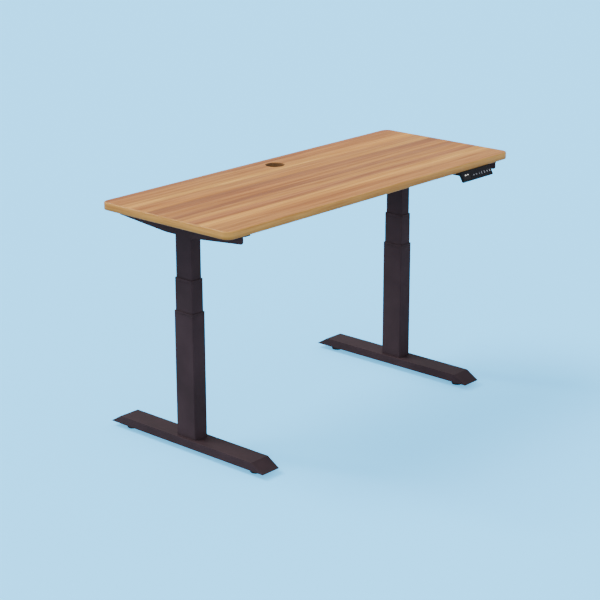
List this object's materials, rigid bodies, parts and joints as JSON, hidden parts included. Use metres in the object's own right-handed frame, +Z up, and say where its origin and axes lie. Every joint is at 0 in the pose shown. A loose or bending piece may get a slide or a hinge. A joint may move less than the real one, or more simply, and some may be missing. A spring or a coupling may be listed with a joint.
{
  "type": "standing desk",
  "caption": "Height adjustable desk: a wooden top on a dark steel frame with two three-stage lifting columns, slant-ended feet and a handset under the front edge.",
  "frame": {"origin": "on the floor, in the middle of the desk's outer box", "axes": "+X along the desktop to the handset's end, +Y to the rear edge, +Z up"},
  "size_m": [1.4, 0.7119, 0.825],
  "materials": {
    "wood": "satin oiled strips",
    "frame_coat": "matt powder coat",
    "drive_coat": "matt black",
    "zinc_steel": "zinc plated",
    "screw_steel": "rolled thread",
    "nut_plastic": "natural acetal",
    "black_plastic": "fine matt",
    "handset_black": "semi gloss",
    "button_black": "satin",
    "display_glass": "gloss window",
    "board_green": "lacquer"
  },
  "bodies": {
    "left_base": {"left_foot": "frame_coat", "left_column_outer": "frame_coat", "left_base_post": "zinc_steel", "left_lower_nut": "nut_plastic", "left_outer_collar": "black_plastic", "left_foot_bolts": "zinc_steel"},
    "left_middle": {"left_column_middle": "frame_coat", "left_middle_yoke": "zinc_steel", "left_upper_nut": "nut_plastic", "left_middle_collar": "black_plastic"},
    "right_base": {"right_foot": "frame_coat", "right_column_outer": "frame_coat", "right_base_post": "zinc_steel", "right_lower_nut": "nut_plastic", "right_outer_collar": "black_plastic", "right_foot_bolts": "zinc_steel"},
    "right_middle": {"right_column_middle": "frame_coat", "right_middle_yoke": "zinc_steel", "right_upper_nut": "nut_plastic", "right_middle_collar": "black_plastic"},
    "desk_top": {"desktop": "wood", "left_bracket": "frame_coat", "right_bracket": "frame_coat", "left_rail_ends": "frame_coat", "right_rail_ends": "frame_coat", "rail_centres": "frame_coat", "frame_bolts": "zinc_steel", "desktop_screws": "zinc_steel", "control_box_case": "black_plastic", "control_box_lid": "black_plastic", "control_board": "board_green", "control_box_screws": "zinc_steel", "handset_shell": "handset_black", "handset_face": "handset_black", "handset_display": "display_glass", "handset_screws": "zinc_steel", "left_column_inner": "frame_coat", "left_head": "frame_coat", "left_gearbox": "drive_coat", "left_motor": "drive_coat", "right_column_inner": "frame_coat", "right_head": "frame_coat", "right_gearbox": "drive_coat", "right_motor": "drive_coat"},
    "left_hollow_screw": {"left_hollow_screw": "screw_steel"},
    "left_inner_screw": {"left_inner_screw": "screw_steel"},
    "left_front_glide": {"left_front_glide": "black_plastic"},
    "left_rear_glide": {"left_rear_glide": "black_plastic"},
    "right_hollow_screw": {"right_hollow_screw": "screw_steel"},
    "right_inner_screw": {"right_inner_screw": "screw_steel"},
    "right_front_glide": {"right_front_glide": "black_plastic"},
    "right_rear_glide": {"right_rear_glide": "black_plastic"},
    "handset_button_up": {"handset_button_up": "button_black"},
    "handset_button_down": {"handset_button_down": "button_black"},
    "handset_button_one": {"handset_button_one": "button_black"},
    "handset_button_two": {"handset_button_two": "button_black"},
    "handset_button_three": {"handset_button_three": "button_black"},
    "handset_button_four": {"handset_button_four": "button_black"},
    "handset_button_memory": {"handset_button_memory": "button_black"}
  },
  "joints": [
    {"name": "left_lower_stage", "type": "slide", "parent": "left_base", "child": "left_middle", "axis": [0, 0, 1], "range_m": [-0.095, 0.2]},
    {"name": "left_upper_stage", "type": "slide", "parent": "left_middle", "child": "desk_top", "axis": [0, 0, 1], "range_m": [-0.095, 0.2]},
    {"name": "right_upper_stage", "type": "slide", "parent": "desk_top", "child": "right_middle", "axis": [0, 0, -1], "range_m": [-0.095, 0.2]},
    {"name": "right_lower_stage", "type": "slide", "parent": "right_middle", "child": "right_base", "axis": [0, 0, -1], "range_m": [-0.095, 0.2]},
    {"name": "left_hollow_screw_turn", "type": "hinge", "parent": "left_middle", "child": "left_hollow_screw", "pos_m": [-0.5225, 0.01125, 0.4], "axis": [0, 0, 1], "range_deg": [-3600, 7200]},
    {"name": "left_inner_screw_turn", "type": "hinge", "parent": "desk_top", "child": "left_inner_screw", "pos_m": [-0.5225, 0.01125, 0.4], "axis": [0, 0, 1], "range_deg": [-3600, 7200]},
    {"name": "left_front_levelling", "type": "slide", "parent": "left_base", "child": "left_front_glide", "axis": [0, 0, -1], "range_m": [-0.003, 0.01]},
    {"name": "left_rear_levelling", "type": "slide", "parent": "left_base", "child": "left_rear_glide", "axis": [0, 0, -1], "range_m": [-0.003, 0.01]},
    {"name": "right_hollow_screw_turn", "type": "hinge", "parent": "right_middle", "child": "right_hollow_screw", "pos_m": [0.5225, 0.01125, 0.4], "axis": [0, 0, 1], "range_deg": [-3600, 7200]},
    {"name": "right_inner_screw_turn", "type": "hinge", "parent": "desk_top", "child": "right_inner_screw", "pos_m": [0.5225, 0.01125, 0.4], "axis": [0, 0, 1], "range_deg": [-3600, 7200]},
    {"name": "right_front_levelling", "type": "slide", "parent": "right_base", "child": "right_front_glide", "axis": [0, 0, -1], "range_m": [-0.003, 0.01]},
    {"name": "right_rear_levelling", "type": "slide", "parent": "right_base", "child": "right_rear_glide", "axis": [0, 0, -1], "range_m": [-0.003, 0.01]},
    {"name": "press_up", "type": "slide", "parent": "desk_top", "child": "handset_button_up", "axis": [0, 0.8654, -0.501], "range_m": [0, 0.0006], "stiffness_N_per_m": 2000, "springref_m": -0.0005},
    {"name": "press_down", "type": "slide", "parent": "desk_top", "child": "handset_button_down", "axis": [0, 0.8654, -0.501], "range_m": [0, 0.0006], "stiffness_N_per_m": 2000, "springref_m": -0.0005},
    {"name": "press_one", "type": "slide", "parent": "desk_top", "child": "handset_button_one", "axis": [0, 0.8654, -0.501], "range_m": [0, 0.0006], "stiffness_N_per_m": 2000, "springref_m": -0.0005},
    {"name": "press_two", "type": "slide", "parent": "desk_top", "child": "handset_button_two", "axis": [0, 0.8654, -0.501], "range_m": [0, 0.0006], "stiffness_N_per_m": 2000, "springref_m": -0.0005},
    {"name": "press_three", "type": "slide", "parent": "desk_top", "child": "handset_button_three", "axis": [0, 0.8654, -0.501], "range_m": [0, 0.0006], "stiffness_N_per_m": 2000, "springref_m": -0.0005},
    {"name": "press_four", "type": "slide", "parent": "desk_top", "child": "handset_button_four", "axis": [0, 0.8654, -0.501], "range_m": [0, 0.0006], "stiffness_N_per_m": 2000, "springref_m": -0.0005},
    {"name": "press_memory", "type": "slide", "parent": "desk_top", "child": "handset_button_memory", "axis": [0, 0.8654, -0.501], "range_m": [0, 0.0006], "stiffness_N_per_m": 2000, "springref_m": -0.0005}
  ],
  "couplings": [
    {"joint": "left_upper_stage", "follows": "left_lower_stage", "ratio": 1},
    {"joint": "right_upper_stage", "follows": "left_lower_stage", "ratio": 1},
    {"joint": "right_lower_stage", "follows": "left_lower_stage", "ratio": 1},
    {"joint": "left_hollow_screw_turn", "follows": "left_lower_stage", "rad_per_m": 628.32},
    {"joint": "left_inner_screw_turn", "follows": "left_lower_stage", "rad_per_m": 628.32},
    {"joint": "right_hollow_screw_turn", "follows": "left_lower_stage", "rad_per_m": 628.32},
    {"joint": "right_inner_screw_turn", "follows": "left_lower_stage", "rad_per_m": 628.32}
  ]
}
